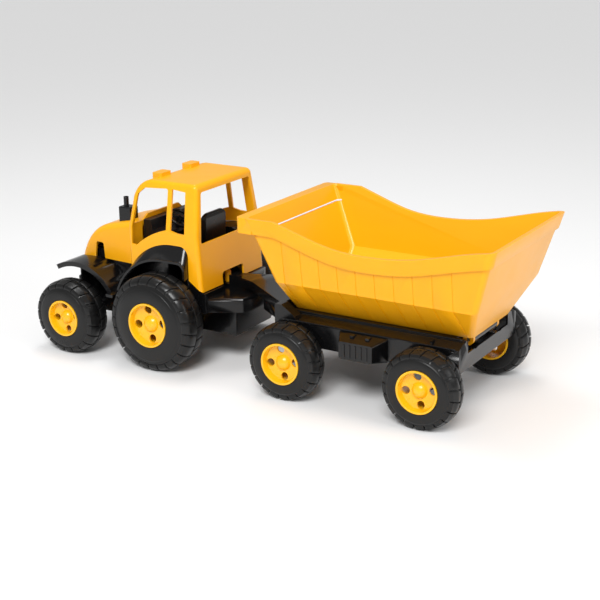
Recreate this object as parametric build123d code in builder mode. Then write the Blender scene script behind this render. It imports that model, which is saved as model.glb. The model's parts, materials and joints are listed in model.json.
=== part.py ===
"""Toy tractor with a hitched tipping trailer, all sizes in millimetres.

+X is the driving direction, +Y the tractor's left and +Z up. The origin is on the ground,
under the middle of the toy's length and width. Every piece is modelled where it stands.
"""
import os
from math import cos, radians, sin, sqrt

from build123d import *

os.makedirs("parts", exist_ok=True)

# ---------------------------------------------------------------- driving dimensions
# Overall layout
HALF_LENGTH = 351.0          # middle of the toy to the front tyres, and to the bed's rear rim
WHEEL_FACE_Y = 125.0         # middle plane to the outer face of every tyre
ROD_R = 3.0                  # steel axle rods
RUN_CLEARANCE = 0.08         # radial, rod or pin in its bearing
PRESS_GAP = 0.02             # radial, peg, screw or rod held by its hole
SEAT_GAP = 0.4               # between mouldings that lie on or beside each other
SIDE_GAP = 1.5               # between a wheel's boss and the bearing beside it

# Wheels: outer radius, width, hub radius, tread grooves
REAR_WHEEL = dict(radius=67.5, width=46.0, hub=31.0, grooves=24)
FRONT_WHEEL = dict(radius=53.0, width=40.0, hub=26.0, grooves=20)
TRAILER_WHEEL = dict(radius=51.0, width=35.0, hub=27.7, grooves=20)
TYRE_WALL = 3.5
GROOVE_WIDTH = 2.4
GROOVE_DEPTH = 2.0
HUB_WALL = 2.5
HUB_LIP = 0.8                # how far the hub's lip stands out of the tyre
BOSS_R = 7.0

REAR_AXLE_X = 147.0
FRONT_AXLE_X = HALF_LENGTH - FRONT_WHEEL["radius"]
TRAILER_AXLE_X = (-65.5, -260.0)

# Cab and bonnet moulding
SHELL_WALL = 3.0
CAB_HALF_WIDTH = 77.0        # up to the belt line
ROOF_HALF_WIDTH = 66.0
BELT_Z = 188.0
ROOF_Z = 255.0
CAB_REAR_X = 88.0
ROOF_REAR_X = 98.0
CAB_FRONT_X = 210.0
CAB_BASE_Z = 109.0           # lower edge of the rear wall
BONNET_HALF_WIDTH = 52.0
NOSE_HALF_WIDTH = 43.0
NOSE_X = FRONT_AXLE_X + 36.0
BONNET_BASE_Z = 125.0
NOSE_BASE_Z = 92.0
ARCH_X, ARCH_Z, ARCH_R = 135.0, 85.0, 85.5      # circle of the cab's wheel arch
ARCH_REAR_X = 109.0
ARCH_REAR_Z = 124.0
ARCH_CORNER_R = 14.0
COWL_Z = 190.0               # lower edge of the windscreen opening
COWL_RISE = 8.0              # its raised middle
NOTCH_HALF_WIDTH = 26.0      # gap in the rear wall for the drawbar
NOTCH_TOP_Z = 126.0

# Tractor chassis
TUB_HALF_WIDTH = 44.0
TUB_FRONT_X = FRONT_AXLE_X + 20.0
TUB_BASE_Z = 44.0
DECK_Z = 100.0
DECK_REAR_X = 38.0
DECK_SKIRT = 20.0
CHASSIS_WALL = 3.0
FENDER_LIP_Y = 90.0
FENDER_GAP = 16.5            # rear tyre to the mudguard's outer edge, along the radius
FRONT_FENDER_GAP = 22.0
FRONT_FENDER_Y = 92.0
FOOTBOARD_Z = 92.0

# Fittings of the tractor
SCREW_R = 1.5
SCREW_HEAD_R = 3.4
SCREW_HEAD_H = 2.2
SCREW_LENGTH = 18.0
REAR_SCREW_X, REAR_SCREW_Y = 100.0, 62.0
REAR_POST_Z = 121.4
FRONT_SCREW_X, FRONT_SCREW_Y = 226.0, 30.0
SCREW_POST_R = 4.5
VENT_X = (279.0, 299.0)      # side openings of the bonnet
LAMP_Y, LAMP_Z, LAMP_R = 25.0, 140.0, 5.5
GRILLE_HALF, GRILLE_BASE, GRILLE_TOP = 19.0, 100.0, 124.0
STACK_X, STACK_Y = 246.0, 30.0
STACK_LENGTH, STACK_WIDTH = 20.0, 18.0
CAB_FLOOR_Z = 108.0
COLUMN_R = 2.5
WHEEL_HEIGHT = 20.0          # steering wheel above the column's foot, along the column
BUMPER_Z, BUMPER_PEG_Y, BUMPER_PEG_R = 77.0, 26.0, 3.0

# Hitch
PIN_X = 98.0
PIN_R = 3.5
PIN_HEAD_R = 4.5
PIN_HEAD_H = 16.0
EYE_R = 10.0
EYE_H = 4.0
DRAWBAR_HALF_WIDTH = 9.0
DRAWBAR_Z = 117.0

# Trailer chassis
TRAILER_TOP_Z = 106.0
TRAILER_REAR_X = -298.0
SKIRT_Y = 88.0
SKIRT_TOP_Z = 99.0
SKIRT_BASE_Z = 68.0
KICK_X = -40.0               # where the drawbar wedge starts
HINGE_X = -288.0
HINGE_Z = 97.0
HINGE_R = 2.5
HINGE_BARREL_R = 7.0
HINGE_BARREL_HALF = 34.0
HINGE_EAR = 5.0
TOOLBOX_PEG_X, TOOLBOX_PEG_Z, TOOLBOX_PEG_R = (-186.0, -150.0), 82.0, 2.5

# Dump bed
BED_FLOOR_Z = TRAILER_TOP_Z + SEAT_GAP
BED_CREASE_Z = 152.0
BED_TOP_Z = 234.0            # rim at both ends
BED_DIP_Z = 205.5            # rim at the middle
BED_DIP_X = -178.0
BED_WALL = 2.6
BED_FLOOR_HALF = 58.0
BED_CREASE_HALF = 101.0
BED_RIM_HALF = 113.0
BED_FLOOR_X = (-302.0, -47.0)
BED_CREASE_X = (-324.0, -43.0)
BED_LIP_X = 4.0              # front edge of the rim's overhanging lip
BAND_H = 20.0
BAND_OUT = 3.0
BED_RIM_X = (BAND_OUT - HALF_LENGTH, -8.5)
RIB_PITCH = 26.0


def xz(y):
    """Plane parallel to X and Z at the distance y to the left; its sketches read (x, z)."""
    return Plane.XZ.offset(-y)


def save(part, label):
    """Name a finished piece and write it as one STEP file."""
    part.label = label
    export_step(part, f"parts/{label}.step")


# ---------------------------------------------------------------- wheels and axles
def make_tyre(radius, width, hub, grooves):
    """Hollow tyre round local Z, centred on its width; its inner edges sit on the hub."""
    half = width / 2
    seat_r = hub + PRESS_GAP
    flat_r = hub + 0.57 * (radius - hub)
    shoulder_r = 0.915 * radius
    carcass_r = radius - TYRE_WALL - GROOVE_DEPTH
    with BuildPart() as tyre:
        with BuildSketch(Plane.XZ):
            with BuildLine():
                Polyline(
                    (seat_r, half), (flat_r, half), (shoulder_r, half - 2.5), (radius - 1.5, half - 8),
                    (radius, half - 12), (radius, 12 - half), (radius - 1.5, 8 - half),
                    (shoulder_r, 2.5 - half), (flat_r, -half), (seat_r, -half), close=True,
                )
            make_face()
            with Locations(((hub + carcass_r) / 2, 0)):
                Rectangle(carcass_r - hub, width - 2 * TYRE_WALL - 6, mode=Mode.SUBTRACT)
        revolve(axis=Axis.Z)
        with PolarLocations(radius, grooves):
            for end in (1, -1):
                with Locations((0, 0, end * (half / 2 + 1))):
                    Box(2 * GROOVE_DEPTH, GROOVE_WIDTH, half + 1, rotation=(14 * end, 0, 0),
                        mode=Mode.SUBTRACT)
    return tyre.part


def make_hub(radius, width, hub, grooves):
    """Dished hub round local Z with a blind bore for the rod; its outer face is towards +Z."""
    half = width / 2
    web_z = half - 9
    rim_r = hub - HUB_WALL
    bore_r = ROD_R + PRESS_GAP
    dome_r = 0.38 * hub
    dome_h = 7.0
    ball_r = (dome_r**2 + dome_h**2) / (2 * dome_h)
    lean = radians(20)
    with BuildPart() as wheel_hub:
        with BuildSketch(Plane.XZ):
            with BuildLine():
                Polyline(
                    (0, web_z + dome_h), (0, web_z + 2), (bore_r, web_z + 2), (bore_r, -half),
                    (BOSS_R, -half), (BOSS_R, web_z - HUB_WALL), (rim_r, web_z + 2 - HUB_WALL),
                    (rim_r, -half), (hub, -half), (hub, half + HUB_LIP), (rim_r, half + HUB_LIP),
                    (rim_r - 2, web_z + 2), (dome_r, web_z),
                )
                ThreePointArc(
                    (dome_r, web_z),
                    (ball_r * sin(lean), web_z + dome_h - ball_r * (1 - cos(lean))),
                    (0, web_z + dome_h),
                )
            make_face()
        revolve(axis=Axis.Z)
        with Locations((0, 0, web_z)):
            with PolarLocations(0.66 * hub, 4, start_angle=8):
                Cylinder(0.19 * hub, 14, mode=Mode.SUBTRACT)
    return wheel_hub.part


def save_axle_set(name, wheel, axle_x):
    """Write the rod, both tyres and both hubs of one axle."""
    axle_z = wheel["radius"]
    middle_y = WHEEL_FACE_Y - wheel["width"] / 2
    rod_end = middle_y + wheel["width"] / 2 - 9 + 2 - 0.5
    tyre = make_tyre(**wheel)
    wheel_hub = make_hub(**wheel)
    for side, turn, word in ((1, -90, "left"), (-1, 90, "right")):
        place = Location((axle_x, side * middle_y, axle_z), (turn, 0, 0))
        with BuildPart() as placed_tyre:
            with Locations(place):
                add(tyre)
        save(placed_tyre.part, f"{name}_tyre_{word}")
        with BuildPart() as placed_hub:
            with Locations(place):
                add(wheel_hub)
        save(placed_hub.part, f"{name}_hub_{word}")
    with BuildPart() as rod:
        with Locations(Location((axle_x, 0, axle_z), (90, 0, 0))):
            Cylinder(ROD_R, 2 * rod_end)
    save(rod.part, f"{name}_axle")


save_axle_set("rear", REAR_WHEEL, REAR_AXLE_X)
save_axle_set("front", FRONT_WHEEL, FRONT_AXLE_X)
save_axle_set("trailer_front", TRAILER_WHEEL, TRAILER_AXLE_X[0])
save_axle_set("trailer_rear", TRAILER_WHEEL, TRAILER_AXLE_X[1])


# ---------------------------------------------------------------- cab and bonnet moulding
def cab_block(inset):
    """Solid of the cab, drawn in from its outer faces by the inset."""
    lean = (ROOF_REAR_X - CAB_REAR_X) / (ROOF_Z - CAB_BASE_Z)
    with BuildPart() as block:
        with BuildSketch(Plane.XZ):
            with BuildLine():
                Polyline(
                    (CAB_REAR_X - lean * (CAB_BASE_Z - 60), 60), (ROOF_REAR_X, ROOF_Z),
                    (CAB_FRONT_X - 9, ROOF_Z), (CAB_FRONT_X, COWL_Z), (CAB_FRONT_X, 60), close=True,
                )
            make_face()
            roof_corners = vertices().group_by(Axis.Y)[-1].sort_by(Axis.X)
            fillet(roof_corners[0], 8)
            fillet(vertices().group_by(Axis.Y)[-1].sort_by(Axis.X)[-1], 34)
            if inset:
                offset(amount=-inset)
        extrude(amount=CAB_HALF_WIDTH - inset, both=True)
        with BuildSketch(Plane.YZ):
            for side in (1, -1):
                with BuildLine():
                    Polyline(
                        (side * (CAB_HALF_WIDTH - inset), BELT_Z),
                        (side * (ROOF_HALF_WIDTH - inset), ROOF_Z + 1),
                        (side * (CAB_HALF_WIDTH + 20), ROOF_Z + 1),
                        (side * (CAB_HALF_WIDTH + 20), BELT_Z), close=True,
                    )
                make_face()
        extrude(amount=300, mode=Mode.SUBTRACT)
        for side in (1, -1):
            outline = [
                edge for edge in block.edges()
                if side * edge.center().Y > ROOF_HALF_WIDTH - inset - 1
                and edge.center().Z > 61
                and not (edge.length > 90 and abs(edge.center().Z - BELT_Z) < 1)
            ]
            fillet(outline, 6 - inset)
    return block.part


def bonnet_block(inset):
    """Solid of the bonnet, running back into the cab, drawn in by the inset."""
    with BuildPart() as block:
        with BuildSketch(Plane.XZ):
            with BuildLine():
                ridge = Spline(
                    (CAB_FRONT_X - 30, 189), (CAB_FRONT_X + 20, 186), (NOSE_X - 69, 178.5),
                    (NOSE_X - 35, 164.5), (NOSE_X - 13, 137), (NOSE_X - 1, NOSE_BASE_Z), mode=Mode.PRIVATE,
                )
                top = Spline(*[
                    ridge @ u + inset * (ridge % u).rotate(Axis.Z, -90)
                    for u in (0, 0.2, 0.4, 0.55, 0.7, 0.85, 1)
                ])
                Polyline(top @ 1, ((top @ 1).X, 60), ((top @ 0).X, 60), top @ 0)
            make_face()
        extrude(amount=BONNET_HALF_WIDTH + 10, both=True)
        with BuildSketch(Plane.XY):
            with BuildLine():
                Polyline(
                    (CAB_FRONT_X - 40, BONNET_HALF_WIDTH - inset),
                    (CAB_FRONT_X + 10, BONNET_HALF_WIDTH - inset),
                    (NOSE_X, NOSE_HALF_WIDTH - inset), (NOSE_X, inset - NOSE_HALF_WIDTH),
                    (CAB_FRONT_X + 10, inset - BONNET_HALF_WIDTH),
                    (CAB_FRONT_X - 40, inset - BONNET_HALF_WIDTH), close=True,
                )
            make_face()
        extrude(amount=300, mode=Mode.INTERSECT)
        crown = [
            edge for edge in block.edges()
            if abs(edge.center().Y) > NOSE_HALF_WIDTH - inset - 2 and edge.center().Z > 100
            and edge.center().X > CAB_FRONT_X - 28
        ]
        fillet(crown, 10 - inset)
    return block.part


with BuildPart() as cab_shell:
    add(cab_block(0))
    add(bonnet_block(0))
    for side in (1, -1):
        with Locations((180, side * 34, ROOF_Z - 6)):
            Box(16, 24, 22)
    roof_lamp_edges = edges().filter_by(Axis.Z).filter_by(lambda e: e.center().Z > ROOF_Z)
    fillet(roof_lamp_edges, 3)
    add(cab_block(SHELL_WALL), mode=Mode.SUBTRACT)
    add(bonnet_block(SHELL_WALL), mode=Mode.SUBTRACT)
    # lower edge: wheel arch, slanted rear corner and the step up to the bonnet
    with BuildSketch(Plane.XZ):
        with BuildLine():
            arch_front_z = ARCH_Z + sqrt(ARCH_R**2 - (CAB_FRONT_X - ARCH_X) ** 2)
            arch_top_z = ARCH_Z + ARCH_R
            mid = radians(60)
            Line((CAB_REAR_X - 20, CAB_BASE_Z), (CAB_REAR_X, CAB_BASE_Z))
            Line((CAB_REAR_X, CAB_BASE_Z), (ARCH_REAR_X, ARCH_REAR_Z))
            Line((ARCH_REAR_X, ARCH_REAR_Z), (ARCH_REAR_X, arch_top_z - ARCH_CORNER_R))
            RadiusArc((ARCH_REAR_X, arch_top_z - ARCH_CORNER_R),
                      (ARCH_REAR_X + ARCH_CORNER_R, arch_top_z), ARCH_CORNER_R)
            Line((ARCH_REAR_X + ARCH_CORNER_R, arch_top_z), (ARCH_X, arch_top_z))
            ThreePointArc((ARCH_X, arch_top_z),
                          (ARCH_X + ARCH_R * cos(mid), ARCH_Z + ARCH_R * sin(mid)),
                          (CAB_FRONT_X, arch_front_z))
            Polyline((CAB_FRONT_X, arch_front_z), (CAB_FRONT_X, BONNET_BASE_Z),
                     (TUB_FRONT_X - 10, BONNET_BASE_Z), (TUB_FRONT_X + 0.5, BONNET_BASE_Z - 12),
                     (TUB_FRONT_X + 0.5, NOSE_BASE_Z), (NOSE_X + 20, NOSE_BASE_Z),
                     (NOSE_X + 20, 20), (CAB_REAR_X - 20, 20), (CAB_REAR_X - 20, CAB_BASE_Z))
        make_face()
    extrude(amount=150, both=True, mode=Mode.SUBTRACT)
    # gap in the rear wall for the drawbar
    with BuildSketch(Plane.YZ.offset(CAB_REAR_X - 10)):
        with Locations((0, NOTCH_TOP_Z - 15)):
            RectangleRounded(2 * NOTCH_HALF_WIDTH, 30, 6)
    extrude(amount=20, mode=Mode.SUBTRACT)
    # door windows, with the curved sill over the wheel
    with BuildSketch(Plane.XZ):
        with BuildLine():
            Polyline((144.5, 190), (144.5, 246), (184, 243.5), (195.5, 234), (199, 215), (203, 190),
                     (204, 164), (196, 163))
            ThreePointArc((196, 163), (173, 179), (144.5, 190))
        make_face()
        fillet(vertices().sort_by(Axis.Y)[-3:], 3)
        # quarter windows
        with BuildLine():
            Polyline((113.5, 187), (115.5, 244), (137.5, 246), (137.5, 190), (126, 187.5), close=True)
        make_face()
    extrude(amount=150, both=True, mode=Mode.SUBTRACT)
    # rear window
    with BuildSketch(Plane.YZ.offset(CAB_REAR_X - 10)):
        with BuildLine():
            Polyline((-68, 174.5), (68, 174.5), (58, 244), (-58, 244), close=True)
        make_face()
        fillet(vertices(), 4)
    extrude(amount=35, mode=Mode.SUBTRACT)
    # windscreen
    with BuildSketch(Plane.YZ.offset(CAB_FRONT_X - 25)):
        with BuildLine():
            Polyline((-66, COWL_Z), (-46, COWL_Z), (-36, COWL_Z + COWL_RISE),
                     (36, COWL_Z + COWL_RISE), (46, COWL_Z), (66, COWL_Z), (58.5, 239),
                     (-58.5, 239), close=True)
        make_face()
        fillet(vertices().group_by(Axis.Y)[-1], 8)
    extrude(amount=40, mode=Mode.SUBTRACT)
    # engine side vents
    with BuildSketch(Plane.XZ):
        with BuildLine():
            Polyline((VENT_X[0], BONNET_BASE_Z - 5), (VENT_X[0] + 2.5, 148), (VENT_X[1] - 4, 148),
                     (VENT_X[1], BONNET_BASE_Z - 5), close=True)
        make_face()
        fillet(vertices().group_by(Axis.Y)[-1], 3)
    extrude(amount=150, both=True, mode=Mode.SUBTRACT)
    # openings for the grille, the headlamps and the exhaust
    with BuildSketch(Plane.YZ.offset(TUB_FRONT_X + 1)):
        with Locations((0, (GRILLE_BASE + GRILLE_TOP) / 2)):
            RectangleRounded(2 * GRILLE_HALF + 2 * SEAT_GAP,
                             GRILLE_TOP - GRILLE_BASE + 2 * SEAT_GAP, 3)
    extrude(amount=30, mode=Mode.SUBTRACT)
    with BuildSketch(Plane.YZ.offset(NOSE_X - 26)):
        with Locations((LAMP_Y, LAMP_Z), (-LAMP_Y, LAMP_Z)):
            Circle(LAMP_R + SEAT_GAP)
    extrude(amount=40, mode=Mode.SUBTRACT)
    with BuildSketch(Plane.XY.offset(160)):
        with Locations((STACK_X, STACK_Y)):
            Rectangle(STACK_LENGTH + 2 * SEAT_GAP, STACK_WIDTH + 2 * SEAT_GAP)
    extrude(amount=60, mode=Mode.SUBTRACT)
    # screw posts
    for side in (1, -1):
        with BuildSketch(Plane.XY.offset(REAR_POST_Z)):
            with Locations((REAR_SCREW_X, side * REAR_SCREW_Y)):
                Circle(SCREW_POST_R)
            with Locations(((CAB_REAR_X + 2 + REAR_SCREW_X) / 2, side * REAR_SCREW_Y)):
                Rectangle(REAR_SCREW_X - CAB_REAR_X - 2, 4)
        extrude(amount=14)
        with BuildSketch(Plane.XY.offset(DECK_Z + SEAT_GAP)):
            with Locations((FRONT_SCREW_X, side * FRONT_SCREW_Y)):
                Circle(SCREW_POST_R)
        extrude(amount=84)
        with Locations((REAR_SCREW_X, side * REAR_SCREW_Y, REAR_POST_Z),
                       (FRONT_SCREW_X, side * FRONT_SCREW_Y, DECK_Z)):
            Cylinder(SCREW_R + PRESS_GAP, 2 * SCREW_LENGTH, mode=Mode.SUBTRACT)
save(cab_shell.part, "cab_shell")


# ---------------------------------------------------------------- tractor chassis
def house_outline(inset, base, rear_x, top_z, corner, arc_x, arc_z, radius):
    """Side outline of a wheelhouse: upright rear edge, rounded corner, flat top, front arc."""
    mid = radians(45)
    arc_r = radius - inset
    with BuildLine() as outline:
        Line((rear_x + inset, base), (rear_x + inset, top_z - corner))
        RadiusArc((rear_x + inset, top_z - corner), (rear_x + corner, top_z - inset),
                  corner - inset)
        Line((rear_x + corner, top_z - inset), (arc_x, top_z - inset))
        ThreePointArc((arc_x, top_z - inset),
                      (arc_x + arc_r * cos(mid), arc_z + arc_r * sin(mid)),
                      (arc_x + sqrt(arc_r**2 - (base - arc_z) ** 2), base))
        Line((arc_x + sqrt(arc_r**2 - (base - arc_z) ** 2), base), (rear_x + inset, base))
    return outline.line


def wheelhouse_block(inset, base, ramp_y):
    """Solid of the left wheelhouse and mudguard, drawn in from its outer faces by the inset."""
    rear_r = REAR_WHEEL["radius"]
    lip_r = rear_r + FENDER_GAP
    inner = house_outline(inset, base, ARCH_REAR_X + SEAT_GAP, ARCH_Z + ARCH_R - SEAT_GAP,
                          ARCH_CORNER_R, ARCH_X, ARCH_Z, ARCH_R - SEAT_GAP)
    lip = house_outline(inset, base, ARCH_REAR_X - 2, rear_r + lip_r, ARCH_CORNER_R - 2,
                        REAR_AXLE_X, rear_r, lip_r)
    with BuildPart() as block:
        with BuildSketch(xz(TUB_HALF_WIDTH + inset)):
            with BuildLine():
                add(inner)
            make_face()
        extrude(amount=-(CAB_HALF_WIDTH - TUB_HALF_WIDTH - inset))
        with BuildSketch(xz(CAB_HALF_WIDTH)):
            with BuildLine():
                add(inner)
            make_face()
        with BuildSketch(xz(ramp_y)):
            with BuildLine():
                add(lip)
            make_face()
        loft(ruled=True)
        with BuildSketch(xz(ramp_y)):
            with BuildLine():
                add(lip)
            make_face()
        extrude(amount=-(FENDER_LIP_Y - ramp_y + inset))
    return block.part


rear_axle_z = REAR_WHEEL["radius"]
front_axle_z = FRONT_WHEEL["radius"]
front_fender_r = front_axle_z + FRONT_FENDER_GAP
rear_tube_y = WHEEL_FACE_Y - REAR_WHEEL["width"] - SIDE_GAP
front_tube_y = WHEEL_FACE_Y - FRONT_WHEEL["width"] - SIDE_GAP
tub_rear_x = DECK_REAR_X + 18
bay_top_z = BONNET_BASE_Z - SEAT_GAP

with BuildPart() as tractor_chassis:
    # the left half is drawn first and mirrored at the end
    # deck behind the cab, hollow below
    with BuildSketch(Plane.XY.offset(DECK_Z - DECK_SKIRT)):
        with BuildLine():
            Polyline((112, 0), (112, 72), (90, 72), (42, 46), (DECK_REAR_X, 30), (DECK_REAR_X, 0),
                     close=True)
        make_face()
    extrude(amount=DECK_SKIRT)
    deck_rim = [
        edge for edge in tractor_chassis.edges()
        if edge.center().Z > DECK_Z - 1 and edge.center().X < 80 and edge.center().Y > 1
    ]
    fillet(deck_rim, 4)
    with BuildSketch(Plane.XY.offset(DECK_Z - DECK_SKIRT)):
        with BuildLine():
            Polyline((109, -1), (109, 69), (91, 69), (44.6, 44), (DECK_REAR_X + CHASSIS_WALL, 28),
                     (DECK_REAR_X + CHASSIS_WALL, -1), close=True)
        make_face()
    extrude(amount=DECK_SKIRT - CHASSIS_WALL, mode=Mode.SUBTRACT)
    # tub under the tractor, open below, with the sides of the engine bay above it
    with BuildSketch(Plane.XZ):
        with BuildLine():
            Polyline((tub_rear_x, TUB_BASE_Z), (tub_rear_x, DECK_Z), (216, DECK_Z),
                     (216, bay_top_z), (TUB_FRONT_X - 10.4, bay_top_z), (TUB_FRONT_X, BONNET_BASE_Z - 12.3),
                     (TUB_FRONT_X, TUB_BASE_Z), close=True)
        make_face()
    extrude(amount=-TUB_HALF_WIDTH)
    # raised floor of the cab
    with Locations(((113 + 206) / 2, TUB_HALF_WIDTH / 2, CAB_FLOOR_Z - 6)):
        Box(93, TUB_HALF_WIDTH, 12)
    for from_x, to_x, from_z, to_z in (
        (tub_rear_x, TUB_FRONT_X, TUB_BASE_Z - CHASSIS_WALL, DECK_Z),
        (113, 206, DECK_Z - 10, CAB_FLOOR_Z),
        (216, TUB_FRONT_X, DECK_Z - CHASSIS_WALL, DECK_Z + 40),
    ):
        with Locations(((from_x + to_x) / 2, TUB_HALF_WIDTH / 2 - CHASSIS_WALL,
                        (from_z + to_z) / 2)):
            Box(to_x - from_x - 2 * CHASSIS_WALL, TUB_HALF_WIDTH,
                to_z - from_z - 2 * CHASSIS_WALL, mode=Mode.SUBTRACT)
    # shoulder beside the drawbar gap, under the cab's rear corner
    with BuildSketch(xz(28)):
        with BuildLine():
            Polyline((84, 80), (112, 80), (112, DECK_Z), (ARCH_REAR_X + 1, ARCH_REAR_Z - 1),
                     (ARCH_REAR_X, ARCH_REAR_Z - 1), (CAB_REAR_X, CAB_BASE_Z - 1),
                     (84, CAB_BASE_Z - 1), close=True)
        make_face()
    extrude(amount=-47)
    with BuildSketch(xz(28 + CHASSIS_WALL)):
        with BuildLine():
            Polyline((84 + CHASSIS_WALL, 79), (112 - CHASSIS_WALL, 79), (107, 116), (90, 104.5),
                     (84 + CHASSIS_WALL, 104.5), close=True)
        make_face()
    extrude(amount=-(47 - 2 * CHASSIS_WALL), mode=Mode.SUBTRACT)
    # footboard between the wheels
    with Locations((233.5, TUB_HALF_WIDTH + 5, FOOTBOARD_Z - 2)):
        Box(57, 12, 4)
    with Locations((229, (TUB_HALF_WIDTH + FRONT_FENDER_Y) / 2 - 1, FOOTBOARD_Z - 2)):
        Box(26, FRONT_FENDER_Y - TUB_HALF_WIDTH + 2, 4)
    with Locations((231, 96, FOOTBOARD_Z - 2)):
        Box(12, 10, 4)
    # wheelhouse and rear mudguard, hollow below
    add(wheelhouse_block(0, FOOTBOARD_Z - 4, FENDER_LIP_Y - 2))
    add(wheelhouse_block(CHASSIS_WALL, FOOTBOARD_Z - 8, FENDER_LIP_Y - 4), mode=Mode.SUBTRACT)
    # front mudguard: a band round the wheel with a rim along its outer edge
    for low_r, high_r, from_y, to_y in (
        (front_fender_r - CHASSIS_WALL, front_fender_r, TUB_HALF_WIDTH, FRONT_FENDER_Y),
        (front_fender_r - 7, front_fender_r, FRONT_FENDER_Y - CHASSIS_WALL, FRONT_FENDER_Y),
    ):
        with BuildSketch(xz(from_y)):
            with Locations((FRONT_AXLE_X, front_axle_z)):
                Circle(high_r)
                Circle(low_r, mode=Mode.SUBTRACT)
            with BuildLine():
                Polyline(
                    (FRONT_AXLE_X, front_axle_z),
                    (FRONT_AXLE_X + 200 * cos(radians(62)), front_axle_z + 200 * sin(radians(62))),
                    (FRONT_AXLE_X, front_axle_z + 250),
                    (FRONT_AXLE_X + 300 * cos(radians(148.7)),
                     front_axle_z + 300 * sin(radians(148.7))),
                    close=True,
                )
            make_face(mode=Mode.INTERSECT)
        extrude(amount=from_y - to_y)
    # room for the rear tyre beside the mudguard
    with BuildSketch(xz(CAB_HALF_WIDTH + 0.5)):
        with Locations((REAR_AXLE_X, rear_axle_z)):
            Circle(rear_axle_z + 4)
    extrude(amount=-20, mode=Mode.SUBTRACT)
    # bearing tubes of both axles, with a web above each
    for axle_x, axle_z, tube_y, web_top in (
        (REAR_AXLE_X, rear_axle_z, rear_tube_y, 160), (FRONT_AXLE_X, front_axle_z, front_tube_y, 126),
    ):
        with BuildSketch(xz(TUB_HALF_WIDTH - CHASSIS_WALL)):
            with Locations((axle_x, axle_z)):
                Circle(BOSS_R)
        extrude(amount=TUB_HALF_WIDTH - CHASSIS_WALL - tube_y)
        with Locations((axle_x, (TUB_HALF_WIDTH + tube_y - 5) / 2, (axle_z + web_top) / 2)):
            Box(CHASSIS_WALL, tube_y - 3 - TUB_HALF_WIDTH, web_top - axle_z)
        with BuildSketch(xz(0)):
            with Locations((axle_x, axle_z)):
                Circle(ROD_R + RUN_CLEARANCE)
        extrude(amount=-WHEEL_FACE_Y, mode=Mode.SUBTRACT)
    # room for the bonnet moulding
    with Locations(((209.6 + NOSE_X - 9) / 2, BONNET_HALF_WIDTH - 4, bay_top_z + 10)):
        Box(NOSE_X - 9 - 209.6, 10.4, 20, mode=Mode.SUBTRACT)
    with Locations((TUB_FRONT_X + 15, TUB_HALF_WIDTH, DECK_Z + 20)):
        Box(30, 2.4, 60, mode=Mode.SUBTRACT)
    with BuildSketch(xz(TUB_HALF_WIDTH)):
        with BuildLine():
            Polyline((TUB_FRONT_X - 10.4, bay_top_z), (TUB_FRONT_X, BONNET_BASE_Z - 12.3),
                     (TUB_FRONT_X + 20, BONNET_BASE_Z + 10),
                     (TUB_FRONT_X - 10.4, BONNET_BASE_Z + 10), close=True)
        make_face()
    extrude(amount=-2, mode=Mode.SUBTRACT)
    # bosses and holes for the screws and the coupling pin
    with Locations((REAR_SCREW_X, REAR_SCREW_Y, REAR_POST_Z - SEAT_GAP)):
        Cylinder(SCREW_POST_R + 1, 24, align=(Align.CENTER, Align.CENTER, Align.MAX),
                 mode=Mode.SUBTRACT)
        Cylinder(SCREW_POST_R + 1, 10, align=(Align.CENTER, Align.CENTER, Align.MAX))
    with Locations((PIN_X, 0, DECK_Z - 10)):
        Cylinder(2 * PIN_R, 20)
    with Locations((REAR_SCREW_X, REAR_SCREW_Y, 110), (FRONT_SCREW_X, FRONT_SCREW_Y, 100)):
        Cylinder(SCREW_R + 0.2, 40, mode=Mode.SUBTRACT)
    # cross walls of the tub
    with Locations((112, TUB_HALF_WIDTH / 2, 82), (207, TUB_HALF_WIDTH / 2, 82),
                   (268, TUB_HALF_WIDTH / 2, 82)):
        Box(CHASSIS_WALL, TUB_HALF_WIDTH, 36)
    # sockets for the bumper's pegs
    with Locations(Location((TUB_FRONT_X, BUMPER_PEG_Y, BUMPER_Z), (0, 90, 0))):
        Cylinder(BUMPER_PEG_R + PRESS_GAP, 20, mode=Mode.SUBTRACT)
    mirror(about=Plane.XZ)
    with Locations((PIN_X, 0, DECK_Z - 10)):
        Cylinder(PIN_R + RUN_CLEARANCE, 30, mode=Mode.SUBTRACT)
save(tractor_chassis.part, "tractor_chassis")


# ---------------------------------------------------------------- fittings of the tractor
with BuildPart() as engine_block:
    with Locations((285, 0, (DECK_Z + SEAT_GAP + 134) / 2)):
        Box(42, 72, 134 - DECK_Z - SEAT_GAP)
    with Locations((285, 0, 138)):
        Box(34, 44, 8)
    fillet(engine_block.edges().group_by(Axis.Z)[-1], 2)
    for side in (1, -1):
        with Locations((285, side * 36, 124)):
            with GridLocations(8, 0, 4, 1):
                Box(3, 6, 30, mode=Mode.SUBTRACT)
save(engine_block.part, "engine_block")

with BuildPart() as grille:
    with BuildSketch(Plane.YZ.offset(NOSE_X - 6)):
        with Locations((0, (GRILLE_BASE + GRILLE_TOP) / 2)):
            RectangleRounded(2 * GRILLE_HALF, GRILLE_TOP - GRILLE_BASE, 2.6)
            with GridLocations(0, 4, 1, 5):
                RectangleRounded(2 * GRILLE_HALF - 8, 2, 0.9, mode=Mode.SUBTRACT)
    extrude(amount=4.4)
    for side in (1, -1):
        with Locations(((TUB_FRONT_X + SEAT_GAP + NOSE_X - 6) / 2, side * (GRILLE_HALF - 3), 106)):
            Box(NOSE_X - 6 - TUB_FRONT_X - SEAT_GAP, 5, 12)
save(grille.part, "grille")

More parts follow.
